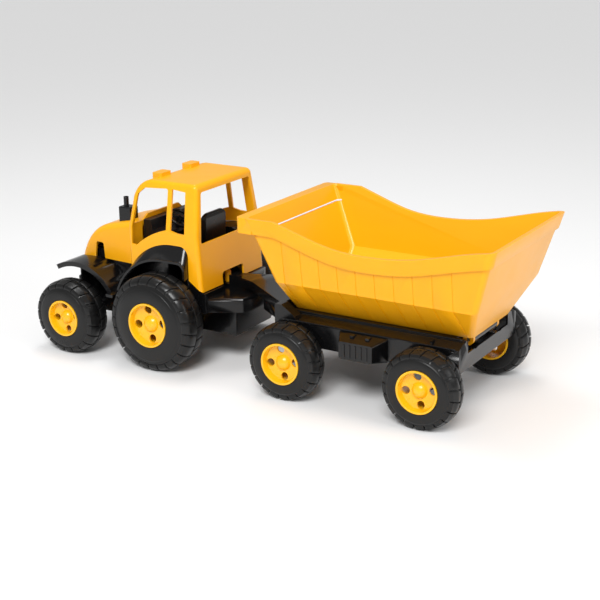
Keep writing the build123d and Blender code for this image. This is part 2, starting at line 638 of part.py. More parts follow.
for side, word in ((1, "left"), (-1, "right")):
    with BuildPart() as headlamp:
        with Locations(Location((NOSE_X - 23, side * LAMP_Y, LAMP_Z), (0, 90, 0))):
            Cylinder(LAMP_R, 12, align=(Align.CENTER, Align.CENTER, Align.MIN))
        fillet(headlamp.edges().group_by(Axis.X)[-1], 3)
    save(headlamp.part, f"headlamp_{word}")

with BuildPart() as bumper:
    with Locations((TUB_FRONT_X + SEAT_GAP, 0, BUMPER_Z)):
        Box(25, 80, 22, align=(Align.MIN, Align.CENTER, Align.CENTER))
    fillet(bumper.edges().filter_by(Axis.Z).group_by(Axis.X)[-1], 8)
    fillet(bumper.edges().filter_by(Axis.Y).group_by(Axis.X)[-1], 3)
    with Locations((TUB_FRONT_X + SEAT_GAP + CHASSIS_WALL, 0, BUMPER_Z - CHASSIS_WALL)):
        with GridLocations(0, 26, 1, 3):
            Box(17, 22, 22, align=(Align.MIN, Align.CENTER, Align.CENTER), mode=Mode.SUBTRACT)
    for side in (1, -1):
        with Locations(Location((TUB_FRONT_X - 7, side * BUMPER_PEG_Y, BUMPER_Z), (0, 90, 0))):
            Cylinder(BUMPER_PEG_R, 8, align=(Align.CENTER, Align.CENTER, Align.MIN))
save(bumper.part, "bumper")

with BuildPart() as exhaust_stack:
    with Locations((STACK_X, STACK_Y, 189)):
        Box(STACK_LENGTH, STACK_WIDTH, 28)
    fillet(exhaust_stack.edges().group_by(Axis.Z)[-1], 2)
    with Locations((STACK_X + 3, STACK_Y, 208)):
        Cylinder(3.7, 16)
        with Locations((0, 0, 5)):
            Cylinder(2.5, 10, mode=Mode.SUBTRACT)
save(exhaust_stack.part, "exhaust_stack")

with BuildPart() as seat:
    with BuildSketch(Plane.XZ):
        with BuildLine():
            base_z = CAB_FLOOR_Z + SEAT_GAP
            Polyline((117, base_z), (157, base_z), (160, 134), (157, 140), (130, 137), (126.5, 141),
                     (124, 198), (121, 204), (117, 204), (115, 198), close=True)
        make_face()
        fillet(vertices().group_by(Axis.Y)[-1], 1.5)
    extrude(amount=24, both=True)
    with BuildSketch(Plane.YZ):
        with Locations((0, 84)):
            RectangleRounded(48, 240, 9)
    extrude(amount=200, mode=Mode.INTERSECT)
    with Locations((138, 0, base_z)):
        Box(34, 42, 48, mode=Mode.SUBTRACT)
save(seat.part, "seat")

column_foot = Vector(188, 0, 170)
column_plane = Plane(origin=column_foot, x_dir=(0, 1, 0), z_dir=(-0.6, 0, 0.8))

with BuildPart() as dashboard:
    with BuildSketch(Plane.XZ):
        with BuildLine():
            Polyline((180, CAB_FLOOR_Z + SEAT_GAP), (205, CAB_FLOOR_Z + SEAT_GAP), (205, 192),
                     (193, 192), (190, 178), (173, 174.5), (170, 171), (171, 166), (180, 166),
                     close=True)
        make_face()
    extrude(amount=TUB_HALF_WIDTH - SEAT_GAP, both=True)
    with BuildSketch(Plane.XZ):
        with BuildLine():
            Polyline((180, 166), (205, 166), (205, 192), (193, 192), (190, 178), (173, 174.5),
                     (170, 171), (171, 166), close=True)
        make_face()
    extrude(amount=48, both=True)
    with Locations((193.5, 0, 136)):
        Box(17, 2 * TUB_HALF_WIDTH - 10, 56, mode=Mode.SUBTRACT)
    with BuildSketch(column_plane.offset(-4)):
        Circle(COLUMN_R + PRESS_GAP)
    extrude(amount=30, mode=Mode.SUBTRACT)
save(dashboard.part, "dashboard")

with BuildPart() as steering_column:
    with BuildSketch(column_plane.offset(-3.8)):
        Circle(COLUMN_R)
    extrude(amount=WHEEL_HEIGHT + 3.8 + 4)
    with BuildSketch(column_plane.offset(11)):
        Circle(COLUMN_R + 2)
    extrude(amount=WHEEL_HEIGHT - 3 - SEAT_GAP - 11)
    with BuildSketch(column_plane.offset(WHEEL_HEIGHT + 3 + SEAT_GAP)):
        Circle(COLUMN_R + 1.5)
    extrude(amount=2)
save(steering_column.part, "steering_column")

with BuildPart() as steering_wheel:
    with BuildSketch(column_plane.offset(WHEEL_HEIGHT - 3)):
        Circle(COLUMN_R + 4)
    extrude(amount=6)
    with BuildSketch(column_plane.offset(WHEEL_HEIGHT - 1.2)):
        with PolarLocations(0, 3, start_angle=180):
            with Locations((8.5, 0)):
                Rectangle(17, 4.4)
    extrude(amount=2.4)
    with Locations(column_plane.offset(WHEEL_HEIGHT).location):
        Torus(17, 2.2)
    with BuildSketch(column_plane.offset(WHEEL_HEIGHT - 5)):
        Circle(COLUMN_R + RUN_CLEARANCE)
    extrude(amount=10, mode=Mode.SUBTRACT)
save(steering_wheel.part, "steering_wheel")

with BuildPart() as gear_lever:
    with Locations((150, -34, CAB_FLOOR_Z + SEAT_GAP)):
        Cylinder(6, 3, align=(Align.CENTER, Align.CENTER, Align.MIN))
        Cylinder(2.2, 62, align=(Align.CENTER, Align.CENTER, Align.MIN))
        with Locations((0, 0, 64)):
            Sphere(4.5)
save(gear_lever.part, "gear_lever")

with BuildPart() as body_screws:
    for screw_x, screw_y, seat_z in (
        (REAR_SCREW_X, REAR_SCREW_Y, REAR_POST_Z - SEAT_GAP - 10),
        (FRONT_SCREW_X, FRONT_SCREW_Y, DECK_Z - CHASSIS_WALL),
    ):
        for side in (1, -1):
            with Locations((screw_x, side * screw_y, seat_z)):
                Cylinder(SCREW_R, SCREW_LENGTH, align=(Align.CENTER, Align.CENTER, Align.MIN))
                Cylinder(SCREW_HEAD_R, SCREW_HEAD_H,
                         align=(Align.CENTER, Align.CENTER, Align.MAX))
            with Locations((screw_x, side * screw_y, seat_z - SCREW_HEAD_H)):
                Box(4, 1, 2, mode=Mode.SUBTRACT)
                Box(1, 4, 2, mode=Mode.SUBTRACT)
save(body_screws.part, "body_screws")

with BuildPart() as coupling_pin:
    with Locations((PIN_X, 0, DECK_Z + EYE_H + 2 * SEAT_GAP + 0.9)):
        Cylinder(PIN_HEAD_R, PIN_HEAD_H, align=(Align.CENTER, Align.CENTER, Align.MIN))
    fillet(coupling_pin.edges().group_by(Axis.Z)[-1], 3)
    with Locations((PIN_X, 0, DECK_Z - DECK_SKIRT)):
        Cylinder(PIN_R, DECK_SKIRT + EYE_H + 3, align=(Align.CENTER, Align.CENTER, Align.MIN))
    chamfer(coupling_pin.edges().group_by(Axis.Z)[0], 1)
save(coupling_pin.part, "coupling_pin")


# ---------------------------------------------------------------- trailer
trailer_axle_z = TRAILER_WHEEL["radius"]
trailer_rear_end = KICK_X - TRAILER_REAR_X
eye_z = DECK_Z + SEAT_GAP

with BuildPart() as trailer_chassis:
    # the left half is drawn first and mirrored at the end
    with BuildSketch(Plane.YZ.offset(TRAILER_REAR_X)):
        with BuildLine():
            Polyline(
                (0, TRAILER_TOP_Z), (68, TRAILER_TOP_Z), (69, TRAILER_TOP_Z - 2.5),
                (72, TRAILER_TOP_Z - 2.5), (73, TRAILER_TOP_Z - 1.5), (75, TRAILER_TOP_Z - 1.5),
                (SKIRT_Y, SKIRT_TOP_Z), (SKIRT_Y, SKIRT_BASE_Z),
                (SKIRT_Y - CHASSIS_WALL, SKIRT_BASE_Z),
                (SKIRT_Y - CHASSIS_WALL, SKIRT_TOP_Z - CHASSIS_WALL),
                (66, TRAILER_TOP_Z - 5), (66, TRAILER_TOP_Z - CHASSIS_WALL),
                (0, TRAILER_TOP_Z - CHASSIS_WALL), close=True,
            )
        make_face()
    extrude(amount=trailer_rear_end)
    # end walls, two long ribs and a cross rib over each axle
    with BuildSketch(Plane.YZ.offset(TRAILER_REAR_X)):
        with BuildLine():
            Polyline((0, TRAILER_TOP_Z - 1), (66, TRAILER_TOP_Z - 1), (SKIRT_Y, SKIRT_TOP_Z - 1),
                     (SKIRT_Y, SKIRT_BASE_Z), (0, SKIRT_BASE_Z), close=True)
        make_face()
    extrude(amount=CHASSIS_WALL)
    with BuildSketch(Plane.YZ.offset(KICK_X - CHASSIS_WALL)):
        with BuildLine():
            Polyline((0, TRAILER_TOP_Z - 1), (66, TRAILER_TOP_Z - 1), (SKIRT_Y, SKIRT_TOP_Z - 1),
                     (SKIRT_Y, SKIRT_BASE_Z + 18), (0, SKIRT_BASE_Z + 18), close=True)
        make_face()
    extrude(amount=CHASSIS_WALL)
    with Locations(((TRAILER_REAR_X + KICK_X) / 2, 21.5, TRAILER_TOP_Z - 19)):
        Box(trailer_rear_end, CHASSIS_WALL, 34)
    for axle_x in TRAILER_AXLE_X:
        with Locations((axle_x, (SKIRT_Y - 1) / 2, TRAILER_TOP_Z - 21)):
            Box(CHASSIS_WALL, SKIRT_Y - 1, 38)
        with BuildSketch(xz(SKIRT_Y - 9)):
            with Locations((axle_x, trailer_axle_z)):
                Circle(BOSS_R + 2)
            with BuildLine():
                Polyline((axle_x - BOSS_R - 2, trailer_axle_z), (axle_x - 13, SKIRT_TOP_Z - 4),
                         (axle_x + 13, SKIRT_TOP_Z - 4), (axle_x + BOSS_R + 2, trailer_axle_z),
                         close=True)
            make_face()
        extrude(amount=-9)
    # raised front corners
    with BuildSketch(xz(72)):
        with BuildLine():
            Polyline((-70, 90), (-70, SKIRT_TOP_Z), (-64, TRAILER_TOP_Z), (-46, DRAWBAR_Z + 1),
                     (KICK_X + 4, DRAWBAR_Z + 1), (KICK_X + 4, 90), close=True)
        make_face()
        fillet(vertices().group_by(Axis.Y)[-1], 2)
    extrude(amount=72 - SKIRT_Y)
    # drawbar: a hollow wedge with a deeper rear part
    for inset, base, drop in ((0, DRAWBAR_Z - 13, 0), (CHASSIS_WALL, DRAWBAR_Z - 14, CHASSIS_WALL)):
        with BuildSketch(Plane.XY.offset(base)):
            with BuildLine():
                Polyline((KICK_X - 2 + 0.7 * inset, 0), (KICK_X - 2 + 0.7 * inset, 80 - 1.6 * inset),
                         (44, 20 - inset), (60, 14 - inset), (80 - 4 * inset, DRAWBAR_HALF_WIDTH - inset),
                         (90 - 6 * inset, DRAWBAR_HALF_WIDTH - inset), (90 - 6 * inset, 0), close=True)
            make_face()
        extrude(amount=DRAWBAR_Z - drop - base, mode=Mode.SUBTRACT if inset else Mode.ADD)
    with BuildSketch(Plane.XY.offset(SKIRT_BASE_Z + 22)):
        with BuildLine():
            Polyline((KICK_X - 2, 80), (KICK_X - 2, 76), (10, 40), (10, 43.7), close=True)
        make_face()
        with Locations((8.5, 20)):
            Rectangle(3, 44)
    extrude(amount=DRAWBAR_Z - SKIRT_BASE_Z - 23)
    # tongue with the eye for the coupling pin
    with BuildSketch(Plane.XY.offset(eye_z)):
        with Locations(((64 + PIN_X) / 2, DRAWBAR_HALF_WIDTH / 2)):
            Rectangle(PIN_X - 64, DRAWBAR_HALF_WIDTH)
        with Locations((PIN_X, 0)):
            Circle(EYE_R)
        with Locations((PIN_X, -EYE_R)):
            Rectangle(2 * EYE_R, 2 * EYE_R, mode=Mode.SUBTRACT)
    extrude(amount=EYE_H)
    # room for the bed's hinge, and the barrel of the hinge
    with Locations((TRAILER_REAR_X + 7, 31, 98)):
        Box(16, 62, 20, mode=Mode.SUBTRACT)
    with Locations((HINGE_X, HINGE_BARREL_HALF + 0.5 + HINGE_EAR / 2, HINGE_Z)):
        Box(20, HINGE_EAR + 2, 20, mode=Mode.SUBTRACT)
    with BuildSketch(Plane.XZ):
        with Locations((HINGE_X, HINGE_Z)):
            Circle(HINGE_BARREL_R)
        with BuildLine():
            Polyline((HINGE_X, HINGE_Z + 6), (HINGE_X + 4, TRAILER_TOP_Z - 0.5),
                     (HINGE_X + 8, TRAILER_TOP_Z - 0.5), (HINGE_X + 18, TRAILER_TOP_Z - 2.5),
                     (HINGE_X + 3, HINGE_Z - 6), close=True)
        make_face()
    extrude(amount=-HINGE_BARREL_HALF)
    with BuildSketch(Plane.XZ):
        with Locations((HINGE_X, HINGE_Z)):
            Circle(HINGE_R + RUN_CLEARANCE)
        for axle_x in TRAILER_AXLE_X:
            with Locations((axle_x, trailer_axle_z)):
                Circle(ROD_R + RUN_CLEARANCE)
    extrude(amount=-WHEEL_FACE_Y, mode=Mode.SUBTRACT)
    # sockets for the toolbox pegs
    with BuildSketch(xz(SKIRT_Y - 10)):
        with Locations(*[(x, TOOLBOX_PEG_Z) for x in TOOLBOX_PEG_X]):
            Circle(TOOLBOX_PEG_R + PRESS_GAP)
    extrude(amount=-20, mode=Mode.SUBTRACT)
    mirror(about=Plane.XZ)
    with Locations((PIN_X, 0, eye_z)):
        Cylinder(PIN_R + RUN_CLEARANCE, 40, mode=Mode.SUBTRACT)
save(trailer_chassis.part, "trailer_chassis")

for side, word in ((1, "left"), (-1, "right")):
    with BuildPart() as toolbox:
        with BuildSketch(xz(SKIRT_Y + SEAT_GAP)):
            with Locations((-167.5, 82)):
                RectangleRounded(69, 32, 3)
        with BuildSketch(xz(SKIRT_Y + 24)):
            with Locations((-168.5, 81.5)):
                RectangleRounded(47, 23, 3)
        loft(ruled=True)
        with Locations((-168.5, SKIRT_Y + 24, 81.5)):
            with GridLocations(8, 0, 5, 1):
                Box(2, 2, 17)
        with Locations((-168, SKIRT_Y + 8, 95)):
            with GridLocations(22, 0, 2, 1):
                Box(5, 9, 6)
        with BuildSketch(xz(SKIRT_Y - CHASSIS_WALL - 1)):
            with Locations(*[(x, TOOLBOX_PEG_Z) for x in TOOLBOX_PEG_X]):
                Circle(TOOLBOX_PEG_R)
        extrude(amount=-8)
        if side < 0:
            mirror(about=Plane.XZ, mode=Mode.REPLACE)
    save(toolbox.part, f"toolbox_{word}")


# ---------------------------------------------------------------- dump bed
def bed_section(z, inset):
    """Rear end, front end and half width of the bed at one height, drawn in by the inset."""
    if z < BED_CREASE_Z:
        low, high = (*BED_FLOOR_X, BED_FLOOR_HALF), (*BED_CREASE_X, BED_CREASE_HALF)
        share = (z - BED_FLOOR_Z) / (BED_CREASE_Z - BED_FLOOR_Z)
    else:
        low, high = (*BED_CREASE_X, BED_CREASE_HALF), (*BED_RIM_X, BED_RIM_HALF)
        share = (z - BED_CREASE_Z) / (BED_TOP_Z - BED_CREASE_Z)
    rear, front, half = (a + share * (b - a) for a, b in zip(low, high))
    return rear + inset, front - inset, half - inset


def bed_block(inset, floor_z, corner):
    """Solid of the bed from the floor up to above its rim."""
    with BuildPart() as block:
        for z, draw_in in ((floor_z, 1.35 * inset), (BED_CREASE_Z, 1.35 * inset),
                           (BED_TOP_Z + 6, inset)):
            rear, front, half = bed_section(z, draw_in)
            with BuildSketch(Plane.XY.offset(z)):
                with Locations(((rear + front) / 2, 0)):
                    RectangleRounded(front - rear, 2 * half, corner)
        loft(ruled=True)
    return block.part


def rim_region(drop, floor_z):
    """Side view of everything below the rim's curve, lowered by the drop."""
    with BuildPart() as region:
        with BuildSketch(Plane.XZ):
            with BuildLine():
                curve = Spline(
                    (-52, BED_TOP_Z - drop), (-89, BED_TOP_Z - 12.5 - drop),
                    (BED_DIP_X + 44, BED_DIP_Z + 3.5 - drop), (BED_DIP_X, BED_DIP_Z - drop),
                    (BED_DIP_X - 72, BED_DIP_Z + 6.5 - drop), (-312, BED_TOP_Z - 7 - drop),
                    (-HALF_LENGTH - 2, BED_TOP_Z - drop),
                )
                Polyline(curve @ 1, (-HALF_LENGTH - 2, floor_z), (40, floor_z),
                         (40, BED_TOP_Z - drop), curve @ 0)
            make_face()
        extrude(amount=140, both=True)
    return region.part


with BuildPart() as bed_band:
    add(bed_block(-BAND_OUT, BED_FLOOR_Z, 8 + BAND_OUT))
    add(rim_region(BAND_H, 90), mode=Mode.SUBTRACT)

with BuildPart() as bed_grooves:
    with Locations((BED_DIP_X, 0, 160)):
        with GridLocations(RIB_PITCH, 0, 10, 1):
            Box(1.2, 300, 160)
    add(rim_region(BAND_H, BED_FLOOR_Z + 4), mode=Mode.INTERSECT)
    add(bed_block(0.6, BED_FLOOR_Z - 1, 8), mode=Mode.SUBTRACT)

with BuildPart() as dump_bed:
    add(bed_block(0, BED_FLOOR_Z, 8))
    add(bed_grooves.part, mode=Mode.SUBTRACT)
    add(bed_band.part)
    # lip that overhangs the front, hollow below
    with Locations(((BED_LIP_X - 20) / 2, 0, BED_TOP_Z - BAND_H / 2)):
        Box(BED_LIP_X + 20, 2 * BED_RIM_HALF + 2, BAND_H)
    with Locations(((BED_LIP_X - 28) / 2, 0, BED_TOP_Z - BAND_H / 2 - BED_WALL)):
        Box(BED_LIP_X + 28 - 2 * BED_WALL, 2 * BED_RIM_HALF - 6, BAND_H, mode=Mode.SUBTRACT)
    with Locations((-24, 0, BED_TOP_Z - BAND_H / 2)):
        Box(30, 2 * BED_RIM_HALF - 8, BAND_H)
    add(bed_block(BED_WALL, BED_FLOOR_Z + BED_WALL, 6), mode=Mode.SUBTRACT)
    add(rim_region(0, 80), mode=Mode.INTERSECT)
    # hinge ears under the rear of the floor
    with BuildSketch(xz(HINGE_BARREL_HALF + 0.5)):
        with Locations((HINGE_X, HINGE_Z)):
            Circle(HINGE_BARREL_R)
        with Locations((HINGE_X, (HINGE_Z + BED_FLOOR_Z + 1) / 2)):
            Rectangle(2 * HINGE_BARREL_R, BED_FLOOR_Z + 1 - HINGE_Z)
    extrude(amount=-HINGE_EAR)
    mirror(about=Plane.XZ)
    with BuildSketch(Plane.XZ):
        with Locations((HINGE_X, HINGE_Z)):
            Circle(HINGE_R + PRESS_GAP)
    extrude(amount=60, both=True, mode=Mode.SUBTRACT)
save(dump_bed.part, "dump_bed")

with BuildPart() as bed_hinge_rod:
    with Locations(Location((HINGE_X, 0, HINGE_Z), (90, 0, 0))):
        Cylinder(HINGE_R, 2 * (HINGE_BARREL_HALF + HINGE_EAR))
save(bed_hinge_rod.part, "bed_hinge_rod")
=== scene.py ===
"""Toy tractor with a hitched tipping trailer: materials, tyres, small fittings, stage and camera.

Laid out as an add-on and run as a script. Lengths are in metres, in the frame of the CAD model:
+X is the driving direction, +Y the tractor's left and +Z up.
"""
import json
import math

import bmesh
import bpy
from mathutils import Matrix, Vector


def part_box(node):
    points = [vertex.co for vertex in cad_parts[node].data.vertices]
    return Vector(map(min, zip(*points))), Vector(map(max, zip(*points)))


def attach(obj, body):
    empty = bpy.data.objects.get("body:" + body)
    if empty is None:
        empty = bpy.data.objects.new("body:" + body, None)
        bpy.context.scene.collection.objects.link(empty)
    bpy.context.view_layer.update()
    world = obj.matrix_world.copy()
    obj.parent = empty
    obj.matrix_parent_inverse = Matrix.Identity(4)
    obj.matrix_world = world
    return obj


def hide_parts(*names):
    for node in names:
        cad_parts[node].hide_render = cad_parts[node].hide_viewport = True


bl_info = {
    "name": "Toy Tractor and Trailer",
    "version": (1, 0, 0),
    "blender": (4, 5, 0),
    "location": "View3D > Sidebar > Toy Tractor",
    "description": "Finishes a moulded toy tractor and its tipping trailer",
    "category": "Object",
}

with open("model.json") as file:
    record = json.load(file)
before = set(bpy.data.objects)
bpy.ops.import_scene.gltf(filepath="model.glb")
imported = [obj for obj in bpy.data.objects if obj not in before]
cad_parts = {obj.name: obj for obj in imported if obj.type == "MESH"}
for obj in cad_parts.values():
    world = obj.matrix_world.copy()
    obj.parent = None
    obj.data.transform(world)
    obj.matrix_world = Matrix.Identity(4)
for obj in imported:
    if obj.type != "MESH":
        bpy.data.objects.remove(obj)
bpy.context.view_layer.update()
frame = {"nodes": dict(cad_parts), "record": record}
NODES = frame["nodes"]
BED_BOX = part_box("dump_bed")
MM = 0.001

WHEELS = {
    # name: (radius, width, hub radius, lugs on each shoulder)
    "rear": (67.5, 46.0, 31.0, 24),
    "front": (53.0, 40.0, 26.0, 20),
    "trailer_front": (51.0, 35.0, 27.7, 20),
    "trailer_rear": (51.0, 35.0, 27.7, 20),
}


# ------------------------------------------------------------------ small tools
def linear(red, green, blue):
    """An sRGB colour in 0-255 as linear RGBA."""
    return tuple((v / 255 / 12.92) if v <= 10 else ((v / 255 + 0.055) / 1.055) ** 2.4
                 for v in (red, green, blue)) + (1.0,)


def new_object(name, mesh_or_bm):
    """Link a mesh, or a finished bmesh, as an object at the origin."""
    if isinstance(mesh_or_bm, bmesh.types.BMesh):
        mesh = bpy.data.meshes.new(name)
        mesh_or_bm.to_mesh(mesh)
        mesh_or_bm.free()
    else:
        mesh = mesh_or_bm
    obj = bpy.data.objects.new(name, mesh)
    bpy.context.scene.collection.objects.link(obj)
    return obj


def set_material(obj, material):
    """Give every face of the object one material."""
    obj.data.materials.clear()
    obj.data.materials.append(material)


def shade_smooth(obj, degrees=30):
    """Smooth shading with creases kept above the angle."""
    obj.data.shade_smooth()
    obj.data.set_sharp_from_angle(angle=math.radians(degrees))


def bevel(obj, width, segments=2, degrees=32):
    """Round the creases of a piece."""
    modifier = obj.modifiers.new("Rounded edges", "BEVEL")
    modifier.width = width * MM
    modifier.segments = segments
    modifier.limit_method = "ANGLE"
    modifier.angle_limit = math.radians(degrees)
    modifier.use_clamp_overlap = True
    modifier.harden_normals = True
    return modifier


def soften(bm, pick, offset, segments=3):
    """Round the sharp outer edges that pick accepts."""
    bm.normal_update()
    chosen = [edge for edge in bm.edges
              if len(edge.link_faces) == 2 and edge.calc_face_angle_signed(0) > math.radians(38)
              and pick(edge)]
    bmesh.ops.bevel(bm, geom=chosen, offset=offset * MM, segments=segments, profile=0.5,
                    affect="EDGES", clamp_overlap=True)


def middle(edge):
    """Middle point of an edge."""
    return (edge.verts[0].co + edge.verts[1].co) / 2


def long_edge(edge):
    """True for an edge long enough to take a generous radius."""
    return edge.calc_length() > 14 * MM


def bed_corner(edge):
    """True for the upright corners of the bed's rim band."""
    along = edge.verts[0].co - edge.verts[1].co
    low, high = BED_BOX
    point = middle(edge)
    ends = min(point.x - low[0], high[0] - point.x)
    return (abs(along.z) > 9 * MM and abs(along.z) > 0.8 * along.length and ends < 4 * MM
            and high[1] - abs(point.y) < 4 * MM)


def bed_rim(edge):
    """True for the upper edges of the bed's rim."""
    tops = [face.normal.z > 0.8 for face in edge.link_faces]
    return middle(edge).z > 0.2 and tops[0] != tops[1]


def moulded_copy(node, name, width, segments=2, rounds=()):
    """A merged copy of a CAD node with rounded edges, which stands for the node."""
    bm = bmesh.new()
    bm.from_mesh(NODES[node].data)
    bmesh.ops.remove_doubles(bm, verts=bm.verts, dist=0.002 * MM)
    bmesh.ops.dissolve_limit(bm, angle_limit=math.radians(0.6), verts=bm.verts, edges=bm.edges)
    for pick, offset in rounds:
        soften(bm, pick, offset)
    obj = new_object(name, bm)
    shade_smooth(obj, 30)
    bevel(obj, width, segments)
    return obj


# ------------------------------------------------------------------ shader groups
def group_shell(name, inputs, outputs):
    """An empty shader node group with named sockets."""
    tree = bpy.data.node_groups.new(name, "ShaderNodeTree")
    for label, kind, value in inputs:
        socket = tree.interface.new_socket(label, in_out="INPUT", socket_type=kind)
        socket.default_value = value
    for label, kind in outputs:
        tree.interface.new_socket(label, in_out="OUTPUT", socket_type=kind)
    return tree, tree.nodes.new("NodeGroupInput"), tree.nodes.new("NodeGroupOutput")


def math_node(tree, operation, first, second=None, clamp=False):
    """A Math node fed by sockets or numbers; returns its output."""
    node = tree.nodes.new("ShaderNodeMath")
    node.operation = operation
    node.use_clamp = clamp
    for socket, value in zip(node.inputs, (first, second)):
        if isinstance(value, (int, float)):
            socket.default_value = value
        elif value is not None:
            tree.links.new(value, socket)
    return node.outputs[0]


def noise(tree, scale, detail=2.0, roughness=0.5, vector=None):
    """A Noise node on Object coordinates; returns its factor."""
    node = tree.nodes.new("ShaderNodeTexNoise")
    node.inputs["Detail"].default_value = detail
    node.inputs["Roughness"].default_value = roughness
    if vector is None:
        vector = tree.nodes.new("ShaderNodeTexCoord").outputs["Object"]
    tree.links.new(vector, node.inputs["Vector"])
    if isinstance(scale, (int, float)):
        node.inputs["Scale"].default_value = scale
    else:
        tree.links.new(scale, node.inputs["Scale"])
    return node.outputs["Fac"]


def mix_colour(tree, factor, first, second, blend="MIX"):
    """A Mix Color node; returns its result."""
    node = tree.nodes.new("ShaderNodeMix")
    node.data_type = "RGBA"
    node.blend_type = blend
    for index, value in ((0, factor), (6, first), (7, second)):
        socket = node.inputs[index]
        if isinstance(value, (int, float, tuple)):
            socket.default_value = value
        else:
            tree.links.new(value, socket)
    return node.outputs[2]


def make_flow_group():
    """Slow colour drift and faint flow streaks of injection-moulded plastic."""
    tree, start, end = group_shell(
        "Moulding Flow",
        [("Colour", "NodeSocketColor", (0.8, 0.4, 0.05, 1)),
         ("Deep Colour", "NodeSocketColor", (0.6, 0.3, 0, 1)),
         ("Drift", "NodeSocketFloat", 0.5), ("Scale", "NodeSocketFloat", 9.0)],
        [("Colour", "NodeSocketColor"), ("Mask", "NodeSocketFloat")],
    )
    clouds = noise(tree, start.outputs["Scale"], 3.0, 0.55)
    coords = tree.nodes.new("ShaderNodeTexCoord")
    mapping = tree.nodes.new("ShaderNodeMapping")
    mapping.inputs["Scale"].default_value = (12.0, 12.0, 70.0)
    tree.links.new(coords.outputs["Object"], mapping.inputs["Vector"])
    streaks = noise(tree, 1.0, 2.0, 0.4, mapping.outputs["Vector"])
    sum_mask = math_node(tree, "ADD", math_node(tree, "MULTIPLY", clouds, 0.7),
                         math_node(tree, "MULTIPLY", streaks, 0.3))
    mask = math_node(tree, "MULTIPLY", math_node(tree, "SUBTRACT", sum_mask, 0.3), 2.2, clamp=True)
    factor = math_node(tree, "MULTIPLY", mask, start.outputs["Drift"])
    tree.links.new(mix_colour(tree, factor, start.outputs["Colour"], start.outputs["Deep Colour"]),
                   end.inputs["Colour"])
    tree.links.new(mask, end.inputs["Mask"])
    return tree


def make_edge_group():
    """Mask of rounded outer edges, where handling polishes the plastic; it lowers the roughness
    there and also carries a painted highlight in the colour.
    """
    tree, start, end = group_shell(
        "Edge Mask",
        [("Radius", "NodeSocketFloat", 0.0015), ("Strength", "NodeSocketFloat", 4.0)],
        [("Mask", "NodeSocketFloat")],
    )
    rounded = tree.nodes.new("ShaderNodeBevel")
    rounded.samples = 4
    tree.links.new(start.outputs["Radius"], rounded.inputs["Radius"])
    plain = tree.nodes.new("ShaderNodeNewGeometry")
    dot = tree.nodes.new("ShaderNodeVectorMath")
    dot.operation = "DOT_PRODUCT"
    tree.links.new(rounded.outputs["Normal"], dot.inputs[0])
    tree.links.new(plain.outputs["Normal"], dot.inputs[1])
    away = math_node(tree, "SUBTRACT", 1.0, dot.outputs["Value"])
    broken = math_node(tree, "ADD", 0.6, noise(tree, 180.0, 2.0))
    mask = math_node(tree, "MULTIPLY", math_node(tree, "MULTIPLY", away, start.outputs["Strength"]),
                     broken, clamp=True)
    tree.links.new(mask, end.inputs["Mask"])
    return tree


def make_grain_group():
    """Fine spark-eroded texture of a mould, as a height."""
    tree, start, end = group_shell(
        "Mould Grain",
        [("Fine", "NodeSocketFloat", 1400.0), ("Wave", "NodeSocketFloat", 60.0),
         ("Wave Share", "NodeSocketFloat", 0.4)],
        [("Height", "NodeSocketFloat")],
    )
    fine = noise(tree, start.outputs["Fine"], 2.0, 0.6)
    wave = noise(tree, start.outputs["Wave"], 1.0)
    height = math_node(tree, "ADD", fine,
                       math_node(tree, "MULTIPLY", wave, start.outputs["Wave Share"]))
    tree.links.new(height, end.inputs["Height"])
    return tree


def make_dust_group():
    """Mask of light dust that settles on faces that look up."""
    tree, start, end = group_shell(
        "Settled Dust",
        [("Amount", "NodeSocketFloat", 0.15), ("Patch Scale", "NodeSocketFloat", 26.0)],
        [("Mask", "NodeSocketFloat")],
    )
    geometry = tree.nodes.new("ShaderNodeNewGeometry")
    split = tree.nodes.new("ShaderNodeSeparateXYZ")
    tree.links.new(geometry.outputs["Normal"], split.inputs[0])
    upward = math_node(tree, "POWER", math_node(tree, "MAXIMUM", split.outputs["Z"], 0.0), 2.0)
    patches = math_node(tree, "MULTIPLY", noise(tree, start.outputs["Patch Scale"], 6.0, 0.65), 1.4)
    mask = math_node(tree, "MULTIPLY", math_node(tree, "MULTIPLY", upward, patches),
                     start.outputs["Amount"], clamp=True)
    tree.links.new(mask, end.inputs["Mask"])
    return tree


GROUPS = {}


def place_group(tree, name, **values):
    """Put a shared group into a material with its own values."""
    node = tree.nodes.new("ShaderNodeGroup")
    node.node_tree = GROUPS[name]
    for label, value in values.items():
        node.inputs[label.replace("_", " ")].default_value = value
    return node


